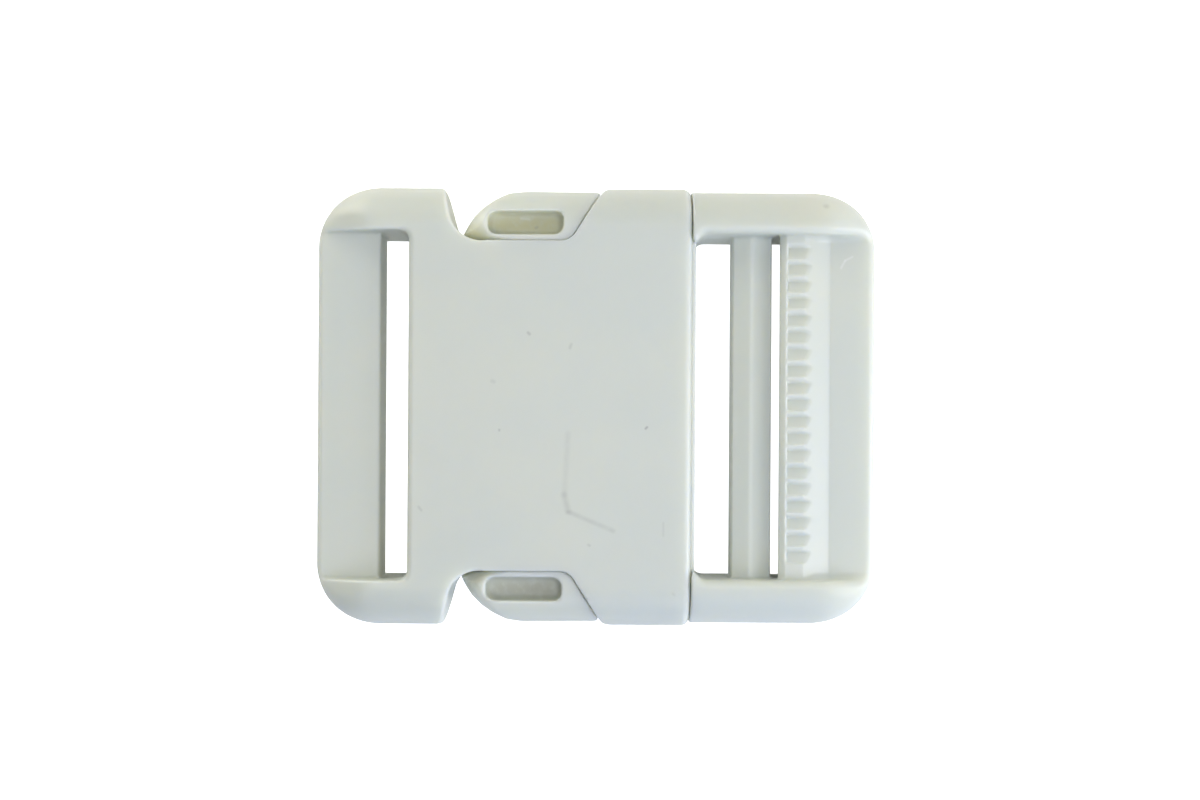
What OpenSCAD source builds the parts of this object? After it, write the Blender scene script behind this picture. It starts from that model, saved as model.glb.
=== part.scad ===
// Side release buckle for webbing, fastened: a hollow socket, and the plug that is clipped into it.
// Origin under the middle of the buckle, +X towards the plug's outer end, +Z out of the front face.

/* [Webbing] */
// Width of the webbing that the buckle takes
webbing_w = 50; // [38:1:60]
// How much longer the socket's slot is than the webbing is wide
slot_play = 2.2; // [1.4:0.2:4]
// How much longer the plug's slots are than the webbing is wide
plug_slot_play = 1.6; // [1:0.2:4]

/* [Both mouldings] */
// Thickness, from the front face to the back face
thickness = 13; // [12:0.5:15]
// Width of a side rail of the socket, from the slot's end to the outside
rail_w = 7.15; // [6.75:0.1:9]
// Radius of the outer corners, seen from the front
corner_r = 9.5; // [8.5:0.5:12]
// Length over which the rails slope down to each outer end
nose_len = 7.6; // [6.6:0.5:10]
// Gap between the plug and the socket
fit = 0.3; // [0.2:0.05:0.4]

/* [Socket] */
// Width of the end bar, from the outer end to the slot
end_bar_w = 9.55; // [8.75:0.1:13]
// Half the thickness of the end bar at its rim
end_bar_rim = 3.4; // [2.8:0.2:4]
// Half the thickness of the end bar beside the slot
end_bar_lip = 3.2; // [2.6:0.2:3.4]
// Width of the rim before the bar's face slopes down to the slot
end_bar_flat = 3.4; // [2.6:0.1:4.5]
// Width of the webbing slot
socket_slot_w = 4.55; // [4.15:0.1:6]
// Length of the panels, from the slot to the mouth
panel_len = 42.2; // [38:0.5:50]
// Thickness of the panels and of the walls round the hollow
wall = 1.8; // [1.5:0.1:2.2]
// Radius of the slot's corners on the panel side
slot_corner_r = 1.6; // [1:0.2:2]
// Rounding of the mouth's edge
mouth_r = 1; // [0.5:0.1:1.3]

/* [Side windows] */
// Depth of the windows from the outside of the socket to their straight edge
window_depth = 8.7; // [7.9:0.1:9.3]
// Length of the V's shoulder beside the slot, at the outside
notch_shoulder = 4.9; // [4:0.1:6.5]
// How far the V's side leans towards the plug on its way in
notch_lean = 2; // [1.4:0.1:3]
// Rounding of the window's foot under the V
notch_foot_r = 4.8; // [3:0.1:5.2]
// Length of the mouth's shoulder at the outside
mouth_shoulder = 12.8; // [11:0.1:14]
// How far the shoulder's diagonal edge leans towards the slot on its way in
shoulder_lean = 5.3; // [4:0.1:7]
// Rounding of the diagonal's foot
shoulder_foot_r = 2.6; // [1:0.1:3]
// Rounding of the shoulders' outer corners
shoulder_r = 1.7; // [0.8:0.1:2]

/* [Plug frame] */
// How much narrower the plug is than the socket, on each side
plug_inset = 0.45; // [0.3:0.05:0.8]
// Length of the cross-member inside the mouth
cross_len = 6.4; // [5:0.2:9]
// How far the cross-member stands out of the mouth
cross_out = 0.7; // [0.6:0.1:1.5]
// Width of the first slot, beside the cross-member
lead_slot_w = 5.65; // [4.95:0.1:8]
// Radius of the first slot's corners beside the cross-member
lead_corner_r = 1.8; // [1:0.2:2.4]
// Width of the centre bar
centre_bar_w = 5.9; // [4.8:0.1:7]
// Half the thickness of the centre bar at its crest
centre_crest = 3.4; // [3.2:0.1:4.4]
// Half the thickness of the centre bar at its edges
centre_edge = 2.6; // [1.8:0.1:3]
// Distance of the crest from the bar's edge at the first slot
crest_at = 2.8; // [2:0.1:3.4]
// Width of the second slot, beside the teeth
grip_slot_w = 1.9; // [1.6:0.1:4]

/* [Toothed end bar] */
// Width of the toothed ridge's flat top
ridge_w = 2.65; // [1.95:0.1:4]
// Half the thickness of the bar at the ridge
ridge_half = 5; // [4.2:0.1:5.4]
// How far the ridge's lip stands out over the second slot
grip_lip = 0.95; // [0.5:0.05:1.1]
// Height of the bevel from the lip up to the ridge's flat top
lip_bevel = 0.6; // [0.3:0.1:1]
// Lean of the wall under the lip away from the slot, in degrees
lip_lean = 8.5; // [6:0.5:12]
// Width of the smooth slope from the ridge down to the valley
slope_w = 4.2; // [3:0.1:6]
// Width of the flat from the valley to the outer end
rim_w = 6.9; // [6.2:0.1:10]
// Half the thickness of the bar at its outer rim
rim_half = 3.2; // [2.8:0.1:3.8]
// Distance from one tooth to the next
tooth_pitch = 2.53; // [2:0.01:3.4]
// Width of a tooth's top
tooth_top = 0.5; // [0.3:0.05:0.8]
// Depth of the notch beside a tooth
tooth_depth = 0.5; // [0.3:0.05:0.8]
// Depth left where the notch has risen to the next tooth
tooth_step = 0.15; // [0.05:0.05:0.25]
// Width of the plain rim between the notches and the second slot
tooth_rim = 0.2; // [0.1:0.1:0.8]
// Plain length left at each end of the row of teeth, at least
tooth_margin = 0.6; // [0.5:0.1:2]
// How far the middle of the row of teeth lies off the middle of the bar
teeth_off = 0.65; // [0:0.05:1]
// How far the moulding gate's mark stands out of the outer end
gate_out = 0.35; // [0.1:0.05:0.6]
// Length of the gate's mark
gate_len = 5.3; // [3:0.1:8]
// Height of the gate's mark
gate_h = 2; // [1:0.1:3]

/* [Prongs] */
// How far the press buttons stay behind the front and back faces
button_sink = 0.3; // [0.1:0.05:0.6]
// How far the press buttons stay inside the socket's outside
button_inset = 0.4; // [0.2:0.05:1]
// How far a button's outer side draws in towards the shoulder that holds it
button_taper = 0.35; // [0:0.05:0.6]
// Gap between a button and the shoulder that holds it
catch_gap = 0.35; // [0.3:0.05:0.8]
// Height of the button's tip above the window's straight edge
tip_rise = 1.1; // [0.9:0.1:1.9]
// Length of the slanted nose of a button
nose_slant = 3.9; // [2.2:0.1:5]
// Rounding of the button's nose, as far as its slant has room for it
button_r = 10.9; // [3:0.1:11]
// Width of the oblong pocket in a button's face
pocket_w = 3.55; // [3:0.05:3.7]
// Depth of the pocket
pocket_depth = 2.6; // [1:0.1:4]
// Distance of the pocket from the window's straight edge
pocket_in = 0.95; // [0.8:0.05:1.4]
// Distance of the pocket from the button's tip
pocket_back = 4; // [3.6:0.1:5]
// Distance of the pocket from the foot of the edge that the shoulder holds
pocket_front = 1; // [0.6:0.05:2]
// Rounding of the pocket's corners
pocket_r = 1.4; // [0.4:0.1:1.45]
// Width of a prong's arm
arm_w = 3.6; // [2.6:0.1:4]
// Height of a prong's arm
arm_h = 7; // [5:0.2:7.4]
// Length of the guide tongue, from the mouth
tongue_len = 28; // [20:0.5:32]
// Width of the guide tongue
tongue_w = 9; // [7:0.5:14]
// Height of the guide tongue
tongue_h = 6; // [4:0.2:8]
// Rounding of the guide tongue's tip
tongue_r = 3; // [1:0.2:3]

/* [Hidden] */
plastic = [0.93, 0.94, 0.91];
plastic_plug = [0.90, 0.91, 0.88];
// Straight pieces in each rounded corner of an outline
arc_steps = 8;
// Segments of a full circle
round_fn = 64;
// Rounding of the bars' ridges and of the buttons' small corners
small_r = 0.8;
// Rounding of the bars' edges beside the slots
bar_edge_r = 0.4;
// Height of the lip's own edge
lip_edge = 0.3;
// Half the length over which a rail's face bends down into the slope of its nose
nose_bend = 1.2;
// How far cutting shapes reach past what they cut
past = 1;
// How far the half-round edge runs past an outer end, which the nose then cuts to length
end_spare = 0.3;
// How far the cuts from the front and from the back overlap where they meet in a slot
overlap = 0.4;

mid = thickness / 2;
slot_half = (webbing_w + slot_play) / 2;
plug_slot_half = (webbing_w + plug_slot_play) / 2;
socket_half = slot_half + rail_w;
plug_half = socket_half - plug_inset;
button_half = socket_half - button_inset;
window_y = socket_half - window_depth;
grip_bar_w = ridge_w + slope_w + rim_w;
overall_len = end_bar_w + socket_slot_w + panel_len + cross_out + lead_slot_w + centre_bar_w
    + grip_slot_w + grip_bar_w + gate_out;

// Places along the buckle, from the socket's outer end to the plug's
x_left = -overall_len / 2;
x_bar = x_left + end_bar_w;
x_panel = x_bar + socket_slot_w;
x_mouth = x_panel + panel_len;
x_frame = x_mouth + fit;
x_lead = x_mouth + cross_out;
x_centre = x_lead + lead_slot_w;
x_grip_slot = x_centre + centre_bar_w;
x_grip = x_grip_slot + grip_slot_w;
x_lip = x_grip - grip_lip;
z_lip = mid + ridge_half - lip_bevel;
x_slope = x_grip + ridge_w;
x_valley = x_slope + slope_w;
x_right = x_valley + rim_w;

// Corners of a side window, on its straight edge and at the socket's outside
x_notch = x_panel + notch_shoulder;
x_notch_foot = x_notch + notch_lean;
x_catch = x_mouth - mouth_shoulder;
x_catch_foot = x_catch - shoulder_lean;
// Middle of the round foot under the V
foot_angle = 90 + atan(notch_lean / window_depth);
foot = [x_notch_foot + notch_foot_r / tan(foot_angle / 2), window_y + notch_foot_r];

// Outlines with rounded corners: a row for each corner, [across, up, radius]
function unit(v) = v / norm(v);
function place(row) = [row[0], row[1]];
function corner(a, b, c, r) =
    r == 0 ? [b] :
    let (
        u = unit(a - b),
        w = unit(c - b),
        half = acos(u * w) / 2,
        centre = b + unit(u + w) * r / sin(half),
        first = b + u * r / tan(half) - centre,
        last = b + w * r / tan(half) - centre,
        start = atan2(first.y, first.x),
        turn = (atan2(last.y, last.x) - start + 540) % 360 - 180
    )
    [for (i = [0:arc_steps])
        let (angle = start + turn * i / arc_steps)
        centre + r * [cos(angle), sin(angle)]];
function rounded(rows) =
    let (n = len(rows))
    [for (i = [0:n - 1])
        each corner(place(rows[(i + n - 1) % n]), place(rows[i]), place(rows[(i + 1) % n]), rows[i][2])];

// Side view of a rail's end: the faces bend down into straight slopes, which end in a blunt nose.
// The points run from the front face round to the back face, and way is 1 for the right end, -1 for the left.
function nose(x_end, way, end_half) =
    let (
        slope = (mid - end_half) / nose_len,
        front = [
            [nose_len + nose_bend + 2 * past / slope, thickness + past, 0],
            [nose_len - nose_bend, thickness - slope * nose_bend, 0],
            [0, mid + end_half, small_r]
        ],
        back = [for (i = [2:-1:0]) [front[i][0], thickness - front[i][1], front[i][2]]]
    )
    [for (p = rounded(concat(front, back))) [x_end - way * p.x, p.y]];

// Prism along Y from an outline in X and Z
module along_y(outline, half_len) {
    translate([0, half_len, 0]) rotate([90, 0, 0]) linear_extrude(2 * half_len) polygon(outline);
}

// Prism along X from its children's outline in Y and Z
module along_x(x_from, x_to) {
    translate([x_from, 0, 0]) rotate([90, 0, 90]) linear_extrude(x_to - x_from) children();
}

// Upright outline with half-round sides, about the middle of the thickness
module half_round(half_w, half_h) {
    translate([-half_w + half_h, mid - half_h]) square([2 * (half_w - half_h), 2 * half_h]);
    for (side = [-1, 1]) translate([side * (half_w - half_h), mid]) circle(half_h, $fn = round_fn);
}

// Plate with half-round edges: cut straight at x_straight, with round corners at its other end x_end
module plate(x_straight, x_end, half_w) {
    way = sign(x_end - x_straight);
    x_turn = x_end - way * corner_r;
    y_turn = half_w - corner_r;
    along_x(min(x_straight, x_turn), max(x_straight, x_turn)) half_round(half_w, mid);
    for (side = [-1, 1])
        translate([x_turn, side * y_turn, 0])
            rotate([0, 0, way > 0 ? (side > 0 ? 0 : -90) : (side > 0 ? 90 : 180)])
                rotate_extrude(angle = 90, $fn = round_fn)
                    intersection() {
                        half_round(corner_r, mid);
                        square([corner_r + past, thickness]);
                    }
    translate([x_turn, y_turn, 0])
        rotate([90, 0, 0])
            linear_extrude(2 * y_turn)
                intersection() {
                    half_round(corner_r, mid);
                    translate([way > 0 ? 0 : -corner_r - past, 0]) square([corner_r + past, thickness]);
                }
}

// Room between the rails, front and back alike: above and below the line that the bars' faces follow
module between_rails(face_line, front_outline, half_len) {
    intersection() {
        translate([0, 0, -past]) linear_extrude(thickness + 2 * past) polygon(front_outline);
        union() {
            along_y(face_line, half_len);
            along_y([for (p = face_line) [p.x, thickness - p.y]], half_len);
        }
    }
}

// Front view of the socket between the slot and the mouth, with both side windows
function socket_front() =
    let (
        side = [
            [x_mouth, socket_half, mouth_r],
            [x_catch, socket_half, shoulder_r],
            [x_catch_foot, window_y, shoulder_foot_r],
            [x_notch_foot, window_y, notch_foot_r],
            [x_notch, socket_half, shoulder_r],
            [x_left - past, socket_half, 0]
        ],
        far_side = [for (i = [len(side) - 1:-1:0]) [side[i][0], -side[i][1], side[i][2]]]
    )
    rounded(concat(side, far_side));

// Everything inside the panels and walls, open at the mouth
module hollow() {
    along_x(x_panel + wall, foot.x + past)
        translate([-window_y + wall, wall]) square([2 * (window_y - wall), thickness - 2 * wall]);
    along_x(foot.x, x_mouth + past) half_round(socket_half - wall, mid - wall);
}

module socket() {
    above = thickness + past;
    face_line = rounded([
        [x_left - past, above, 0],
        [x_left - past, mid + end_bar_rim, 0],
        [x_left + end_bar_flat, mid + end_bar_rim, small_r],
        [x_bar, mid + end_bar_lip, bar_edge_r],
        [x_bar, mid - overlap, 0],
        [x_panel + past, mid - overlap, 0],
        [x_panel + past, above, 0]
    ]);
    opening = rounded([
        [x_left - 2 * past, -slot_half, 0],
        [x_panel, -slot_half, slot_corner_r],
        [x_panel, slot_half, slot_corner_r],
        [x_left - 2 * past, slot_half, 0]
    ]);
    mouth_edge = rounded([
        [x_left, thickness, 0],
        [x_left, 0, 0],
        [x_mouth, 0, mouth_r],
        [x_mouth, thickness, mouth_r]
    ]);
    color(plastic) difference() {
        intersection() {
            plate(x_mouth + past, x_left - end_spare, socket_half);
            linear_extrude(thickness) polygon(socket_front());
            along_y(concat(nose(x_left, -1, end_bar_rim), [for (i = [2:len(mouth_edge) - 1]) mouth_edge[i]]),
                socket_half + past);
        }
        hollow();
        between_rails(face_line, opening, slot_half + past);
    }
}

// Notches between the teeth: each drops sharply beside one tooth and rises gently to the next
module notches() {
    room = 2 * (plug_slot_half - tooth_margin - teeth_off) - tooth_top;
    count = floor(room / tooth_pitch);
    z_ridge = mid + ridge_half;
    first = (count * tooth_pitch + tooth_top) / 2 - tooth_top + teeth_off;
    for (i = [0:count - 1]) {
        y_deep = first - i * tooth_pitch;
        y_shallow = y_deep - (tooth_pitch - tooth_top);
        along_x(x_grip + tooth_rim, x_valley) polygon([
            [y_deep, z_ridge + past],
            [y_deep, z_ridge - tooth_depth],
            [y_shallow, z_ridge - tooth_step],
            [y_shallow, z_ridge + past]
        ]);
    }
}

// Room under the ridge's lip, down to the back
module under_lip() {
    top = z_lip - lip_edge;
    along_y([
        [x_lip - overlap, top],
        [x_lip, top],
        [x_lip + (top + past) * tan(lip_lean), -past],
        [x_lip - overlap, -past]
    ], plug_slot_half);
}

module plug_frame() {
    above = thickness + past;
    middle = mid - overlap;
    face_line = rounded([
        [x_frame - past, above, 0],
        [x_frame - past, middle, 0],
        [x_centre, middle, 0],
        [x_centre, mid + centre_edge, bar_edge_r],
        [x_centre + crest_at, mid + centre_crest, small_r],
        [x_grip_slot, mid + centre_edge, bar_edge_r],
        [x_grip_slot, middle, 0],
        [x_lip, middle, 0],
        [x_lip, z_lip, 0],
        [x_grip, mid + ridge_half, 0],
        [x_slope, mid + ridge_half, small_r],
        [x_valley, mid + rim_half, small_r],
        [x_right + past, mid + rim_half, 0],
        [x_right + past, above, 0]
    ]);
    opening = rounded([
        [x_lead, plug_slot_half, lead_corner_r],
        [x_lead, -plug_slot_half, lead_corner_r],
        [x_right + 2 * past, -plug_slot_half, 0],
        [x_right + 2 * past, plug_slot_half, 0]
    ]);
    difference() {
        intersection() {
            plate(x_frame, x_right + end_spare, plug_half);
            along_y(concat(nose(x_right, 1, rim_half), [[x_frame - past, -past], [x_frame - past, above]]),
                socket_half + past);
        }
        between_rails(face_line, opening, plug_slot_half + past);
        under_lip();
        notches();
        for (z = [-past, thickness - wall - fit])
            translate([x_frame - past, -plug_slot_half + lead_corner_r, z])
                cube([x_lead - x_frame + 2 * past, 2 * (plug_slot_half - lead_corner_r), wall + fit + past]);
    }
    translate([x_right - past, -gate_len / 2, mid - gate_h / 2]) cube([past + gate_out, gate_len, gate_h]);
}

// Press button at the end of a prong: it fills a side window of the socket, and its diagonal edge
// holds the plug in
module button() {
    y_in = window_y + fit;
    catch_lean = shoulder_lean / window_depth;
    x_catch_gap = catch_gap * sqrt(1 + catch_lean * catch_lean);
    x_catch_in = x_catch_foot + catch_lean * fit - x_catch_gap;
    // The toe keeps the same gap all round the foot of the V
    toe_r = notch_foot_r - fit;
    toe_turn = 90 - asin((notch_foot_r - tip_rise) / toe_r);
    toe = [for (i = [0:arc_steps])
        let (angle = 270 - toe_turn * i / arc_steps)
        foot + toe_r * [cos(angle), sin(angle)]];
    x_tip = toe[arc_steps].x;
    slant = [nose_slant, button_half - toe[arc_steps].y];
    nose_r = min(button_r, norm(slant) / tan(atan2(slant.y, slant.x) / 2) - small_r);
    y_out = button_half - button_taper;
    outline = rounded(concat([for (p = toe) [p.x, p.y, 0]], [
        [x_tip + slant.x, button_half, nose_r],
        [x_catch_foot + catch_lean * (y_out - window_y) - x_catch_gap, y_out, small_r],
        [x_catch_in, y_in, max(shoulder_foot_r - fit, small_r)]
    ]));
    x_pocket = [x_tip + pocket_back, x_catch_in - pocket_front];
    y_pocket = [window_y + pocket_in, window_y + pocket_in + pocket_w];
    pocket = rounded([
        [x_pocket[0], y_pocket[0], pocket_r],
        [x_pocket[0], y_pocket[1], pocket_r],
        [x_pocket[1], y_pocket[1], pocket_r],
        [x_pocket[1], y_pocket[0], pocket_r]
    ]);
    difference() {
        intersection() {
            along_x(x_notch, x_mouth) half_round(button_half, mid - button_sink);
            linear_extrude(thickness) polygon(outline);
        }
        translate([0, 0, thickness - button_sink - pocket_depth]) linear_extrude(thickness) polygon(pocket);
    }
}

// Button and the arm behind it, which lies in the half-round side of the hollow
module prong() {
    x_root = x_mouth - cross_len + past;
    x_in_button = x_catch_foot - catch_gap - past;
    y_out = socket_half - mid + sqrt(pow(mid - wall - fit, 2) - pow(arm_h / 2, 2));
    button();
    translate([x_in_button, y_out - arm_w, mid - arm_h / 2]) cube([x_root - x_in_button, arm_w, arm_h]);
}

module tongue() {
    x_tip = x_mouth - tongue_len;
    x_root = x_mouth - cross_len + past;
    translate([0, 0, mid - tongue_h / 2]) linear_extrude(tongue_h) polygon(rounded([
        [x_tip, -tongue_w / 2, tongue_r],
        [x_tip, tongue_w / 2, tongue_r],
        [x_root, tongue_w / 2, 0],
        [x_root, -tongue_w / 2, 0]
    ]));
}

module plug() {
    color(plastic_plug) {
        plug_frame();
        along_x(x_mouth - cross_len, x_lead) half_round(socket_half - wall - fit, mid - wall - fit);
        prong();
        mirror([0, 1, 0]) prong();
        tongue();
    }
}

socket();
plug();
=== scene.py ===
from functools import reduce
from math import radians

import bpy
import numpy as np
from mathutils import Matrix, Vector


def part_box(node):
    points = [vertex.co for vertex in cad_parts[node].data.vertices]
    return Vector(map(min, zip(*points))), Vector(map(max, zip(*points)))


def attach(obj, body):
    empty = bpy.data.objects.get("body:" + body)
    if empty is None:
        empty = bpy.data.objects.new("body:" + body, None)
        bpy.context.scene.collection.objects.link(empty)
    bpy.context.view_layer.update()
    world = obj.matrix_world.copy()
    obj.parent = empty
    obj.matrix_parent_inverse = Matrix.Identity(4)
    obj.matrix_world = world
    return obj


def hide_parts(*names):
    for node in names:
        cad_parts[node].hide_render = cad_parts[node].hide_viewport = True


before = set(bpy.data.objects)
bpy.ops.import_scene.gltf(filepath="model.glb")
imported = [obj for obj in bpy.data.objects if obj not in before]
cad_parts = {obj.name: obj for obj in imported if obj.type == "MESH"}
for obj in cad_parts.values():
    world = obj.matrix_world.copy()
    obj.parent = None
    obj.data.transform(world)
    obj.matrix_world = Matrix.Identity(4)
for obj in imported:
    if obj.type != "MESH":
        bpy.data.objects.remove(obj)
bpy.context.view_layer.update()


# Socket: the hollow half of the buckle, a single injection moulding in natural white acetal. The webbing is
# sewn round its end bar, and its two side windows hold the plug's press buttons behind slanted shoulders.
# All sizes are in millimetres, as on a drawing, and the outer ones come from the frame.
MM = 0.001
socket_low, socket_high = (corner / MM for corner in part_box("socket"))
x_left, x_mouth, socket_half = socket_low.x, socket_high.x, socket_high.y
thickness = socket_high.z - socket_low.z
half_thick = thickness / 2
mid = socket_low.z + half_thick
slot_half = 26.1
corner_r = 9.5
nose_len = 7.6
nose_bend = 1.5
end_edge_r = 1.2
wall = 1.8
fit = 0.3
end_bar_w = 9.55
end_bar_rim = 3.4
end_bar_lip = 3.2
end_bar_flat = 3.4
end_bar_bend_r = 1.5
socket_slot_w = 4.55
slot_corner_r = 1.6
bar_edge_r = 0.4
mouth_r = 1.1
x_bar = x_left + end_bar_w
x_panel = x_bar + socket_slot_w
window_y = socket_half - 8.7
notch_lean = 2.0
x_notch = x_panel + 4.9
x_notch_foot = x_notch + notch_lean
shoulder_lean = 5.3
x_catch = x_mouth - 12.8
x_catch_foot = x_catch - shoulder_lean
notch_foot_r = 4.8
shoulder_foot_r = 2.6
shoulder_r = 1.7
slot_edge_r = 0.35
panel_edge_r = 0.95
window_edge_r = 0.45
seam_edge_r = 0.1
web_r = 0.45
inner_edge_r = 0.25
past = 5.0
window_past = 2.0
foot_angle = (np.pi / 2 + np.arctan2(notch_lean, socket_half - window_y)) / 2
x_foot, y_foot = x_notch_foot + notch_foot_r / np.tan(foot_angle), window_y + notch_foot_r


def common(*shapes):
    """Where all the shapes are, with sharp edges. A shape is a distance, negative inside."""
    return reduce(np.maximum, shapes)


def meet(a, b, r):
    """Where both shapes are, with the edge between them rounded."""
    return np.minimum(np.maximum(a, b), -r) + np.hypot(np.maximum(a + r, 0), np.maximum(b + r, 0))


def join(a, b, r):
    """Both shapes together, with a fillet in the corner between them."""
    return -meet(-a, -b, r)


def cut(a, b, r):
    """The first shape without the second, with the edge of the cut rounded."""
    return meet(a, -b, r)


def blend(first, second, share):
    """The first value up to a share of 0, the second from a share of 1, and a straight change in between."""
    return first + (second - first) * np.clip(share, 0, 1)


def arcs(rows, steps=6):
    """Points of a closed outline from its corners: a row for each, (across, up, radius)."""
    corners = np.array([row[:2] for row in rows], float)
    points = []
    for here, before, after, row in zip(corners, np.roll(corners, 1, 0), np.roll(corners, -1, 0), rows):
        radius = row[2]
        if radius == 0:
            points.append(here)
            continue
        back = (before - here) / np.linalg.norm(before - here)
        on = (after - here) / np.linalg.norm(after - here)
        half_angle = np.arccos(back @ on) / 2
        centre = here + (back + on) / np.linalg.norm(back + on) * radius / np.sin(half_angle)
        first = here + back * radius / np.tan(half_angle) - centre
        last = here + on * radius / np.tan(half_angle) - centre
        for share in np.linspace(0, 1, steps + 1):
            spoke = first * (1 - share) + last * share
            points.append(centre + spoke * radius / np.linalg.norm(spoke))
    return np.array(points)


def outline(rows):
    """Distance to a closed outline with rounded corners, as a function of two coordinates in its plane."""
    points = arcs(rows)

    def distance(u, v):
        nearest = np.inf
        inside = False
        for start, end in zip(points, np.roll(points, -1, 0)):
            side = end - start
            if side @ side == 0:
                continue
            du, dv = u - start[0], v - start[1]
            share = np.clip((du * side[0] + dv * side[1]) / (side @ side), 0, 1)
            nearest = np.minimum(nearest, (du - share * side[0]) ** 2 + (dv - share * side[1]) ** 2)
            level = (start[1] > v) != (end[1] > v)
            inside = inside ^ (level & ((du * side[1] < side[0] * dv) == (side[1] > 0)))
        return np.where(inside, -1, 1) * np.sqrt(nearest)

    return distance


def plate(x, side, up, x_end, half_w, way, tiny=0.001):
    """Plate with round corners at x_end, where its faces slope down: half-round sides and a blunt end."""
    inward = way * (x_end - x)
    along, across = corner_r - inward, side - (half_w - corner_r)
    past_turn = np.hypot(np.maximum(along, 0), np.maximum(across, 0))
    edge = past_turn - corner_r + np.minimum(np.maximum(along, across), 0)
    endwise = (np.maximum(along, 0) / np.maximum(past_turn, tiny)) ** 2
    down = (nose_len - inward + np.hypot(nose_len - inward, nose_bend)) / 2
    half = half_thick - down * (half_thick - end_bar_rim) / nose_len
    return meet(edge, up - half, half + (end_edge_r - half) * endwise)


def half_round(side, up, half_w, half_h):
    """Bar along X with half-round sides."""
    return np.hypot(np.maximum(side - (half_w - half_h), 0), up) - half_h


socket_slot = outline([
    (x_left - past, -slot_half, 0),
    (x_panel, -slot_half, slot_corner_r),
    (x_panel, slot_half, slot_corner_r),
    (x_left - past, slot_half, 0),
])
end_bar = outline([
    (x_left - past, end_bar_rim, 0),
    (x_left + end_bar_flat, end_bar_rim, end_bar_bend_r),
    (x_bar, end_bar_lip, bar_edge_r),
    (x_bar, -end_bar_lip, bar_edge_r),
    (x_left + end_bar_flat, -end_bar_rim, end_bar_bend_r),
    (x_left - past, -end_bar_rim, 0),
])
side_window = outline([
    (x_catch + past, socket_half + window_past, 0),
    (x_catch, socket_half, shoulder_r),
    (x_catch_foot, window_y, shoulder_foot_r),
    (x_notch_foot, window_y, notch_foot_r),
    (x_notch, socket_half, shoulder_r),
    (x_notch - past, socket_half + window_past, 0),
])


def socket_shape(x, y, z):
    side, up = np.abs(y), np.abs(z - mid)
    shell = meet(plate(x, side, up, x_left, socket_half, -1), x - x_mouth, mouth_r)
    recess = meet(socket_slot(x, side), -end_bar(x, up), web_r)
    shell = cut(shell, recess, blend(slot_edge_r, panel_edge_r, (x - x_panel) / slot_corner_r + 1))
    seam = np.clip(x - x_foot, 0, 1) * np.clip(x_catch - x, 0, 1)
    shell = cut(shell, side_window(x, side), blend(window_edge_r, seam_edge_r, seam))
    narrow = common(side - (window_y - wall), up - (half_thick - wall), x_panel + wall - x)
    wide = common(half_round(side, up, socket_half - wall, half_thick - wall), x_foot - x)
    return cut(shell, np.minimum(narrow, wide), inner_edge_r)


def ruled(start, stop, fine, coarse, near, reach, widen=0.35):
    """Grid lines from start to stop: fine apart within reach of the places in near, and coarse far away."""
    lines = [start]
    while lines[-1] < stop:
        gap = min(abs(lines[-1] - place) for place in near) - reach
        lines.append(lines[-1] + min(fine + widen * max(gap, 0), coarse))
    return np.array(lines)


def mirrored(lines):
    """Grid lines on both sides of 0, from those on the positive side."""
    return np.concatenate([-lines[:0:-1], lines])


def slope(shape, points, step=0.01):
    """Direction in which the distance grows fastest at each point, and how fast."""
    steps = np.eye(3) * step
    return np.stack([shape(*(points + by).T) - shape(*(points - by).T) for by in steps], 1) / (2 * step)


def moulding(name, shape, xs, ys, zs, passes=3):
    """Closed mesh of quads where the distance is 0: one vertex in each grid cell that the surface passes.
    A vertex starts at the mean of its cell's crossings and is drawn onto the surface in a few passes."""
    grid = (xs, ys, zs)
    distance = shape(xs[:, None, None], ys[None, :, None], zs[None, None, :])
    quads, crossings = [], []
    for axis in range(3):
        b, c = (axis + 1) % 3, (axis + 2) % 3
        start = np.argwhere(np.diff(distance < 0, axis=axis))
        end = start.copy()
        end[:, axis] += 1
        at_start, at_end = distance[tuple(start.T)], distance[tuple(end.T)]
        point = np.stack([lines[start[:, i]] for i, lines in enumerate(grid)], 1)
        reach = grid[axis][end[:, axis]] - grid[axis][start[:, axis]]
        point[:, axis] += reach * at_start / (at_start - at_end)
        ring = []
        for step_b, step_c in ((-1, -1), (0, -1), (0, 0), (-1, 0)):
            cell = start.copy()
            cell[:, b] += step_b
            cell[:, c] += step_c
            ring.append(np.ravel_multi_index(cell.T, distance.shape))
        ring = np.stack(ring, 1)
        quads.append(np.where(at_start[:, None] < 0, ring, ring[:, ::-1]))
        crossings.append(point)
    _, quads = np.unique(np.concatenate(quads), return_inverse=True)
    quads = quads.reshape(-1, 4)
    spread = np.repeat(np.concatenate(crossings), 4, axis=0)
    count = np.bincount(quads.ravel())
    points = np.stack([np.bincount(quads.ravel(), spread[:, i]) / count for i in range(3)], 1)
    for _ in range(passes):
        lean = slope(shape, points)
        points -= lean * (shape(*points.T) / (lean ** 2).sum(1))[:, None]
    normals = slope(shape, points)
    normals /= np.linalg.norm(normals, axis=1)[:, None]

    mesh = bpy.data.meshes.new(name)
    mesh.from_pydata((points * MM).tolist(), [], quads.tolist())
    mesh.shade_smooth()
    mesh.normals_split_custom_set_from_vertices(normals.tolist())
    piece = bpy.data.objects.new(name, mesh)
    bpy.context.scene.collection.objects.link(piece)
    return piece


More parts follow.
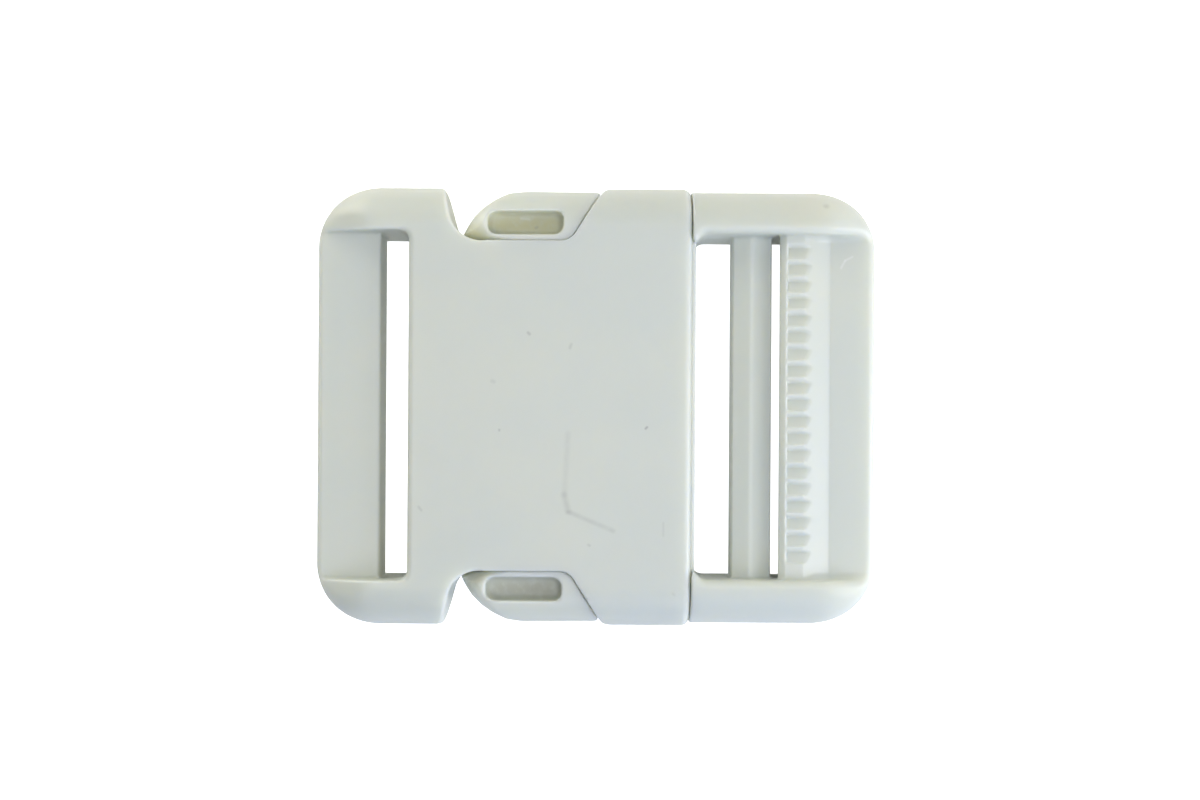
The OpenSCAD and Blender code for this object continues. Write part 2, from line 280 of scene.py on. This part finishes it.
margin = 1.0
turn_in = 2.0
socket_places = [x_left, x_bar, x_panel, x_notch, x_notch_foot, x_foot, x_catch_foot, x_catch, x_mouth]
socket_sides = [window_y, slot_half, socket_half - turn_in, socket_half]
socket_levels = [0, wall, mid - end_bar_rim, mid + end_bar_rim, thickness - wall, thickness]
socket_piece = moulding(
    "socket_moulding",
    socket_shape,
    ruled(x_left - margin, x_mouth + margin, fine=0.22, coarse=0.8, near=socket_places, reach=1.5),
    mirrored(ruled(0.0, socket_half + margin, fine=0.25, coarse=1.2, near=socket_sides, reach=1.5)),
    ruled(-margin, thickness + margin, fine=0.22, coarse=0.5, near=socket_levels, reach=0.6),
)


class Signal:
    """Output of a shader node. Arithmetic on signals adds the Math nodes that work it out."""

    def __init__(self, tree, socket=None):
        self.tree = tree
        self.socket = socket

    def node(self, kind, settings=None, inputs=None, out=0):
        """Adds a node of any kind: its settings are made first, then each input gets its value or signal."""
        added = self.tree.nodes.new(kind)
        for key, value in (settings or {}).items():
            setattr(added, key, value)
        for key, value in (inputs or {}).items():
            if isinstance(value, Signal):
                self.tree.links.new(value.socket, added.inputs[key])
            else:
                added.inputs[key].default_value = value
        return Signal(self.tree, added.outputs[out] if added.outputs else None)

    def maths(self, operation, *values):
        return self.node("ShaderNodeMath", {"operation": operation}, dict(enumerate(values)))

    def __add__(self, other):
        return self.maths("ADD", self, other)

    def __radd__(self, other):
        return self.maths("ADD", other, self)

    def __mul__(self, other):
        return self.maths("MULTIPLY", self, other)

    def __rmul__(self, other):
        return self.maths("MULTIPLY", other, self)

    def vector(self, operation, *values, out=0):
        return self.node("ShaderNodeVectorMath", {"operation": operation}, dict(enumerate(values)), out)

    def scaled(self, vector, factor):
        """Vector times a factor, either of which may be a signal."""
        return self.node("ShaderNodeVectorMath", {"operation": "SCALE"}, {0: vector, "Scale": factor})

    def fade(self, start, stop):
        """0 at start, 1 at stop, with soft ends."""
        settings = {"interpolation_type": "SMOOTHSTEP"}
        return self.node("ShaderNodeMapRange", settings, {"Value": self, "From Min": start, "From Max": stop})

    def tint(self, first, second):
        """Colour between the first, where this signal is 0, and the second, where it is 1."""
        inputs = {"Factor": self, 6: first, 7: second}
        return self.node("ShaderNodeMix", {"data_type": "RGBA"}, inputs, 2)

    def stroke(self, start, stop, reach, shortest=0.01):
        """For a place in millimetres: 1 on the line from start to stop, and 0 from reach away from it."""
        span = Vector(stop) - Vector(start)
        from_start = self.vector("SUBTRACT", self, start)
        per_length = span / max(span.length_squared, shortest ** 2)
        share = from_start.vector("DOT_PRODUCT", from_start, per_length, out=1)
        share = share.maths("MINIMUM", share.maths("MAXIMUM", share, 0.0), 1.0)
        nearest = self.scaled(tuple(span), share)
        away = self.vector("LENGTH", self.vector("SUBTRACT", from_start, nearest), out=1)
        return away.fade(reach, 0.0)

    def noise(self, place, scale, detail=2.0, roughness=0.5):
        inputs = {"Vector": place, "Scale": scale, "Detail": detail, "Roughness": roughness}
        return self.node("ShaderNodeTexNoise", None, inputs)


body_tone = (0.685, 0.71, 0.615, 1)
deep_tone = (0.66, 0.695, 0.62, 1)
scuff_tone = (0.2, 0.21, 0.19, 1)


def acetal(name, marks):
    """Moulded acetal: milky, faintly uneven in tone, with a fine spark-eroded grain under its gloss.
    A mark is a row of start, stop, reach, strength and tone. Marks paint wear, and also painted shade in
    recesses."""
    material = bpy.data.materials.new(name)
    material.use_nodes = True
    tree = material.node_tree
    tree.nodes.clear()
    resin = Signal(tree)
    place = resin.node("ShaderNodeTexCoord", out=3)
    cloud = resin.noise(place, scale=45.0, detail=3.0).fade(0.35, 0.65)
    grain = resin.noise(place, scale=5200.0, roughness=0.6)
    ripple = resin.noise(place, scale=420.0)
    smudge = resin.noise(place, scale=900.0).fade(0.2, 0.6)
    colour = cloud.tint(body_tone, deep_tone)
    in_mm = resin.scaled(place, 1 / MM)
    # Each mark tints the colour: real wear, and also painted shade where the list gives it.
    for start, stop, reach, strength, tone in marks:
        mark = in_mm.stroke(start, stop, reach) * (smudge * 0.4 + 0.6) * strength
        colour = mark.tint(colour, tone)
    bump = resin.node("ShaderNodeBump", None, {
        "Strength": 0.1,
        "Distance": 0.00005,
        "Height": grain * 0.5 + ripple,
    })
    shader = resin.node("ShaderNodeBsdfPrincipled", None, {
        "Base Color": colour,
        "Roughness": 0.34 + ripple * 0.08,
        "Normal": bump,
        "IOR": 1.48,
        "Subsurface Weight": 1.0,
        "Subsurface Radius": (1.0, 0.9, 0.7),
        "Subsurface Scale": 0.003,
    })
    resin.node("ShaderNodeOutputMaterial", None, {"Surface": shader})
    return material


# Scuffs on the front face: start and stop, reach and strength. The first three are one long scuff.
face_scuffs = [
    ((-4.3, -4.2), (-4.8, -13.2), 0.75, 0.1),
    ((-4.8, -13.2), (-4.2, -15.7), 0.8, 0.18),
    ((-4.2, -15.7), (2.5, -18.5), 0.6, 0.18),
    ((-10.3, 10.8), (-10.1, 10.6), 0.4, 0.3),
    ((-3.9, 9.1), (-4.1, 8.6), 0.4, 0.22),
    ((-15.6, 3.6), (-15.3, 3.5), 0.5, 0.15),
    ((-14.5, -3.6), (-14.5, -3.7), 0.3, 0.35),
    ((7.4, -3.1), (7.2, -3.3), 0.3, 0.5),
    ((-26.4, -15.1), (-26.0, -15.6), 0.35, 0.2),
    ((-1.2, -20.6), (-1.0, -20.7), 0.35, 0.2),
    ((11.4, -27.8), (11.6, -28.0), 0.4, 0.15),
    ((9.9, -17.3), (9.9, -19.2), 0.3, 0.12),
]
socket_marks = [
    ((*start, thickness), (*stop, thickness), reach, strength, scuff_tone)
    for start, stop, reach, strength in face_scuffs
]
socket_piece.data.materials.append(acetal("socket_acetal", socket_marks))
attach(socket_piece, "root")
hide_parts("socket")


# Plug: the half that is pushed into the socket, a second moulding in the same acetal. Its frame has a centre
# bar and a toothed end bar for the webbing, and two spring prongs end in the press buttons that hold it in.
plug_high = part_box("plug")[1] / MM
plug_half = plug_high.y
plug_slot_half = 25.8
gate_out = 0.35
gate_sink = 0.01
gate_half_len = 2.65
gate_half_h = 1.0
gate_fillet_r = 0.1
x_right = plug_high.x - gate_out
joint_gap = 0.1
x_frame = x_mouth + joint_gap
x_lead = x_mouth + 0.7
x_centre = x_lead + 5.65
centre_bar_w = 5.9
centre_crest = 3.4
centre_edge = 2.6
crest_at = 2.8
crest_r = 0.8
x_grip_slot = x_centre + centre_bar_w
x_grip = x_grip_slot + 1.9
grip_lip = 0.95
lip_bevel = 0.6
lip_bevel_r = 0.2
lip_edge = 0.3
lip_lean = radians(8.5)
under_lip_in = 0.4
under_lip_r = 0.175
x_lip = x_grip - grip_lip
x_slope = x_grip + 2.65
x_valley = x_slope + 4.2
ridge_half = 5.0
ridge_r = 0.5
rim_half = 3.2
z_lip = mid + ridge_half - lip_bevel - lip_edge
lead_corner_r = 1.8
rail_edge_r = 1.2
bar_fillet_r = 1.1
fillet_grows = 2.0
tooth_pitch = 2.53
tooth_top = 0.5
tooth_depth = 0.5
tooth_step = 0.15
tooth_count = 19
tooth_edge_r = 0.18
tooth_end_r = 0.15
tooth_rim = 0.2
tooth_drop = 0.55
tooth_foot_r = 0.3
tooth_step_r = 0.05
teeth_off = 0.65
notch_w = tooth_pitch - tooth_top
y_first_notch = (tooth_count * tooth_pitch + tooth_top) / 2 - tooth_top - notch_w / 2 + teeth_off
overlap = 1.0
cross_len = 6.4
x_cross_in = x_mouth - cross_len
cross_half = half_thick - wall - fit
button_sink = 0.3
button_half = socket_half - 0.4
button_taper = 0.35
button_edge_r = 0.2
nose_edge_r = 4.2
nose_fall = 7.0
pocket_edge_r = 0.35
pocket_floor_r = 0.8
pocket_depth = 2.6
pocket_floor = thickness - button_sink - pocket_depth
pocket_in = 0.95
pocket_w = 3.55
pocket_from_tip = 4.0
pocket_from_catch = 1.0
pocket_toe_r = 1.4
pocket_corner_r = 1.5
pocket_catch_r = 1.2
arm_w = 3.6
arm_half_h = 3.5
tongue_len = 28.0
tongue_half_w = 4.5
tongue_half_h = 3.0
tongue_end_r = 3.0
button_gap = 0.025
catch_gap = 0.1
catch_r = 0.5
tip_rise = 1.1
toe_points = 9
nose_slant = 3.9
nose_r = 10.9

lead_opening = outline([
    (x_lead, -plug_slot_half, lead_corner_r),
    (x_lead, plug_slot_half, lead_corner_r),
    (x_right + past, plug_slot_half, 0),
    (x_right + past, -plug_slot_half, 0),
])
centre_bar = outline([
    (x_centre, -centre_edge, bar_edge_r),
    (x_centre, centre_edge, bar_edge_r),
    (x_centre + crest_at, centre_crest, crest_r),
    (x_grip_slot, centre_edge, bar_edge_r),
    (x_grip_slot, -centre_edge, bar_edge_r),
    (x_centre + crest_at, -centre_crest, crest_r),
])
toothed_bar = outline([
    (x_lip, -ridge_half, 0),
    (x_lip, ridge_half - lip_bevel, lip_bevel_r),
    (x_grip, ridge_half, ridge_r),
    (x_slope, ridge_half, ridge_r),
    (x_valley, rim_half, ridge_r),
    (x_right + past, rim_half, 0),
    (x_right + past, -rim_half, 0),
    (x_valley, -rim_half, ridge_r),
    (x_slope, -ridge_half, ridge_r),
])
tooth_notch = outline([
    (notch_w / 2, past, 0),
    (notch_w / 2, 0, 0),
    (notch_w / 2 - tooth_drop, -tooth_depth, tooth_foot_r),
    (-notch_w / 2, -tooth_step, tooth_step_r),
    (-notch_w / 2, past, 0),
])

# The button's toe follows the round foot of the window's notch, with the same centre.
toe_r = notch_foot_r - button_gap
toe_turns = np.linspace(0, np.pi / 2 - np.arcsin((notch_foot_r - tip_rise) / toe_r), toe_points)
toe = [(x_foot - toe_r * np.sin(turn), y_foot - toe_r * np.cos(turn), 0) for turn in toe_turns]
x_tip = toe[-1][0]
catch_lean = shoulder_lean / (socket_half - window_y)
x_catch_gap = catch_gap * np.hypot(1, catch_lean)
x_catch_in = x_catch_foot + catch_lean * button_gap - x_catch_gap
catch_out = button_half - button_taper
button_outline = outline(toe + [
    (x_tip + nose_slant, button_half, nose_r),
    (x_catch_foot + catch_lean * (catch_out - window_y) - x_catch_gap, catch_out, catch_r),
    (x_catch_in, window_y + button_gap, shoulder_foot_r - button_gap),
])
x_pocket = (x_tip + pocket_from_tip, x_catch_in - pocket_from_catch)
y_pocket = (window_y + pocket_in, window_y + pocket_in + pocket_w)
pocket_outline = outline([
    (x_pocket[0], y_pocket[0], pocket_toe_r),
    (x_pocket[0], y_pocket[1], pocket_corner_r),
    (x_pocket[1], y_pocket[1], pocket_catch_r),
    (x_pocket[1], y_pocket[0], pocket_corner_r),
])
tongue_outline = outline([
    (x_mouth - tongue_len, tongue_half_w, tongue_end_r),
    (x_cross_in + overlap, tongue_half_w, 0),
    (x_cross_in + overlap, -tongue_half_w, 0),
    (x_mouth - tongue_len, -tongue_half_w, tongue_end_r),
])


def plug_shape(x, y, z):
    side, up = np.abs(y), np.abs(z - mid)
    body = meet(plate(x, side, up, x_right, plug_half, 1), x_frame - x, inner_edge_r)
    bars = np.minimum(centre_bar(x, up), toothed_bar(x, up))
    bar_end_r = blend(web_r, bar_fillet_r, (x - x_slope) / fillet_grows)
    body = cut(body, meet(lead_opening(x, side), -bars, bar_end_r), rail_edge_r)
    leaning = (x - x_lip - np.tan(lip_lean) * (z_lip - z)) * np.cos(lip_lean)
    under_lip = common(leaning, z - z_lip, x_lip - under_lip_in - x, side - plug_slot_half)
    body = cut(body, under_lip, under_lip_r)
    row = np.clip(np.round((y_first_notch - y) / tooth_pitch), 0, tooth_count - 1)
    notch = tooth_notch(y - y_first_notch + row * tooth_pitch, z - mid - ridge_half)
    body = cut(body, meet(notch, x_grip + tooth_rim - x, tooth_end_r), tooth_edge_r)
    step = common(side - (plug_slot_half - lead_corner_r), cross_half - up, x - x_lead - overlap)
    body = cut(body, step, inner_edge_r)
    cross = half_round(side, up, socket_half - wall - fit, cross_half)
    body = np.minimum(body, meet(cross, common(x_cross_in - x, x - x_lead), inner_edge_r))
    gate = common(side - gate_half_len, np.abs(x - x_right) - gate_out + gate_sink, up - gate_half_h)
    body = join(body, gate, gate_fillet_r)

    edge_r = blend(button_edge_r, nose_edge_r, 1 - (x - x_tip) / nose_fall)
    face = half_round(side, up, button_half, half_thick - button_sink)
    button = meet(face, button_outline(x, side), edge_r)
    pocket = meet(pocket_outline(x, side), pocket_floor - z, pocket_floor_r)
    button = cut(button, pocket, pocket_edge_r)
    arm_out = socket_half - half_thick + np.sqrt(cross_half ** 2 - arm_half_h ** 2)
    arm = common(side - arm_out, arm_out - arm_w - side, up - arm_half_h)
    arm = common(arm, x_catch_foot - catch_gap - overlap - x, x - (x_cross_in + overlap))
    tongue = common(tongue_outline(x, y), up - tongue_half_h)
    return np.minimum(body, np.minimum(join(button, arm, inner_edge_r), tongue))


notch_middles = y_first_notch - np.arange(tooth_count) * tooth_pitch
tooth_edges = np.concatenate([notch_middles - notch_w / 2, notch_middles + notch_w / 2])
plug_places = [
    x_tip, x_catch_foot, x_catch, x_lead, x_centre, x_grip_slot, x_lip, x_grip, x_slope, x_valley, x_right,
]
plug_sides = [plug_slot_half, window_y, plug_half - turn_in, plug_half]
plug_levels = [0, mid - ridge_half, mid - rim_half, mid + rim_half, mid + ridge_half, thickness]
y_teeth = plug_slot_half - margin
rail_lines = ruled(y_teeth, plug_half + margin, fine=0.25, coarse=1.2, near=plug_sides, reach=1.5)
tooth_lines = ruled(-y_teeth, y_teeth, fine=0.17, coarse=0.4, near=tooth_edges, reach=0.1)
plug_piece = moulding(
    "plug_moulding",
    plug_shape,
    ruled(x_tip - 2 * margin, plug_high.x + margin, fine=0.27, coarse=0.9, near=plug_places, reach=0.8),
    np.concatenate([-rail_lines[::-1], tooth_lines[1:-1], rail_lines]),
    ruled(-margin, thickness + margin, fine=0.24, coarse=0.55, near=plug_levels, reach=0.6),
)

scratch_tone = (0.95, 0.95, 0.93, 1)
# Tones of painted shade: the first for the far side, the second for the near side.
far_painted_shade_tone = (0.62, 0.61, 0.38, 1)
near_painted_shade_tone = (0.5, 0.51, 0.41, 1)
pocket_shade_reach = 3.4
y_pocket_mid = (y_pocket[0] + y_pocket[1]) / 2
pocket_ends = (x_pocket[0] + pocket_w / 2, x_pocket[1] - pocket_w / 2)
# Line along the button's toe where painted shade darkens it.
toe_shade_line = ((-20.0, 25.6, 11.6), (-18.0, 25.4, 12.2))
rim_top = mid + rim_half

# Painted shade: the pocket's floor and the toe are painted deeper in tone than the faces, as shade falls in
# the recess and on the steep toe, and most so on the near side.
plug_marks = []
for way, tone, toe_shade_reach, toe_shade_strength in ((1, far_painted_shade_tone, 2.6, 0.8), (-1, near_painted_shade_tone, 3.0, 1.0)):
    floor_shade_start, floor_shade_stop = [(x, way * y_pocket_mid, pocket_floor) for x in pocket_ends]
    toe_shade_start, toe_shade_stop = [(x, way * y, z) for x, y, z in toe_shade_line]
    plug_marks.append((floor_shade_start, floor_shade_stop, pocket_shade_reach, 1.0, tone))
    plug_marks.append((toe_shade_start, toe_shade_stop, toe_shade_reach, toe_shade_strength, tone))

# Wear: a speck on the far rail, a curved scratch on the outer flat, and two marks in the far pocket.
plug_marks += [
    ((34.0, 30.3, 12.0), (34.1, 30.4, 12.0), 0.9, 0.4, scuff_tone),
    ((36.6, 21.1, rim_top), (37.2, 22.2, rim_top), 0.3, 0.3, scratch_tone),
    ((37.2, 22.2, rim_top), (38.3, 22.8, rim_top), 0.3, 0.3, scratch_tone),
    ((-11.6, 28.2, pocket_floor), (-10.4, 28.1, pocket_floor), 0.3, 0.3, scratch_tone),
    ((-9.4, 26.8, pocket_floor), (-9.2, 26.9, pocket_floor), 0.35, 0.3, scuff_tone),
]
plug_piece.data.materials.append(acetal("plug_acetal", plug_marks))
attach(plug_piece, "root")
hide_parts("plug")


# Table: the plain white sheet that the buckle lies on. It glows white to the camera alone, so that it is an
# even white through the slots too, and its glow lights the buckle itself by no more than a trace.
floor_size = 3.0
sheet_tone = (0.98, 0.98, 0.98, 1)
seen_glow = (1, 1, 1, 1)
cast_glow = (0.045, 0.045, 0.04, 1)
bpy.ops.mesh.primitive_plane_add(size=floor_size)
floor = bpy.context.object
floor.name = "table"
sheet = bpy.data.materials.new("table_white")
sheet.use_nodes = True
sheet.node_tree.nodes.clear()
sheet_start = Signal(sheet.node_tree)
to_camera = sheet_start.node("ShaderNodeLightPath")
sheet_shader = sheet_start.node("ShaderNodeBsdfPrincipled", None, {
    "Base Color": sheet_tone,
    "Roughness": 0.9,
    "Emission Color": to_camera.tint(cast_glow, seen_glow),
    "Emission Strength": 1.0,
})
sheet_start.node("ShaderNodeOutputMaterial", None, {"Surface": sheet_shader})
floor.data.materials.append(sheet)


# Light: square soft boxes that all face the middle of the buckle, one overhead, one high up on the near side
# and four low down round it. Those on the near side are cool and those on the far side warm.
def softbox(name, place, size, power, colour):
    lamp = bpy.data.lights.new(name, "AREA")
    lamp.shape = "SQUARE"
    lamp.size = size
    lamp.energy = power
    lamp.color = colour
    box = bpy.data.objects.new(name, lamp)
    box.location = place
    box.rotation_euler = (-Vector(place)).to_track_quat("-Z", "Y").to_euler()
    bpy.context.scene.collection.objects.link(box)


softbox("low_right", (0.324, -0.057, 0.12), size=0.2, power=0.76, colour=(1.0, 1.01, 1.12))
softbox("overhead", (0.0, 0.0, 0.4), size=0.3, power=0.66, colour=(0.99, 1.0, 1.08))
softbox("low_far_left", (-0.211, 0.252, 0.12), size=0.2, power=0.58, colour=(1.02, 1.0, 0.95))
softbox("high_near", (0.074, -0.418, 0.424), size=0.35, power=0.95, colour=(0.96, 1.0, 1.2))
softbox("low_near", (0.112, -0.309, 0.12), size=0.2, power=0.11, colour=(0.65, 1.0, 1.7))
softbox("low_far", (0.164, 0.285, 0.12), size=0.2, power=0.24, colour=(1.04, 1.0, 0.88))

world = bpy.data.worlds.new("studio")
world.use_nodes = True
world.node_tree.nodes["Background"].inputs["Color"].default_value = (0, 0, 0, 1)
world.node_tree.nodes["Background"].inputs["Strength"].default_value = 0.0
bpy.context.scene.world = world


# Camera: looks straight down from a little to the near side of the middle, as the photograph was taken. Its
# lens is shifted back by as much as puts the buckle in the same place in the picture.
camera_height = 0.2
camera_x = 0.000449
camera_y = -0.00583
camera_turn = radians(0.35)
view_width = 0.17784
view_shift = 0.0378
sensor = 36.0
lens = bpy.data.cameras.new("camera")
lens.sensor_width = sensor
lens.lens = sensor * camera_height / view_width
lens.shift_y = view_shift
lens.clip_start = 0.01
camera = bpy.data.objects.new("camera", lens)
camera.location = (camera_x, camera_y, thickness * MM + camera_height)
camera.rotation_euler.z = camera_turn
bpy.context.scene.collection.objects.link(camera)
bpy.context.scene.camera = camera
bpy.context.scene.view_settings.view_transform = "Standard"
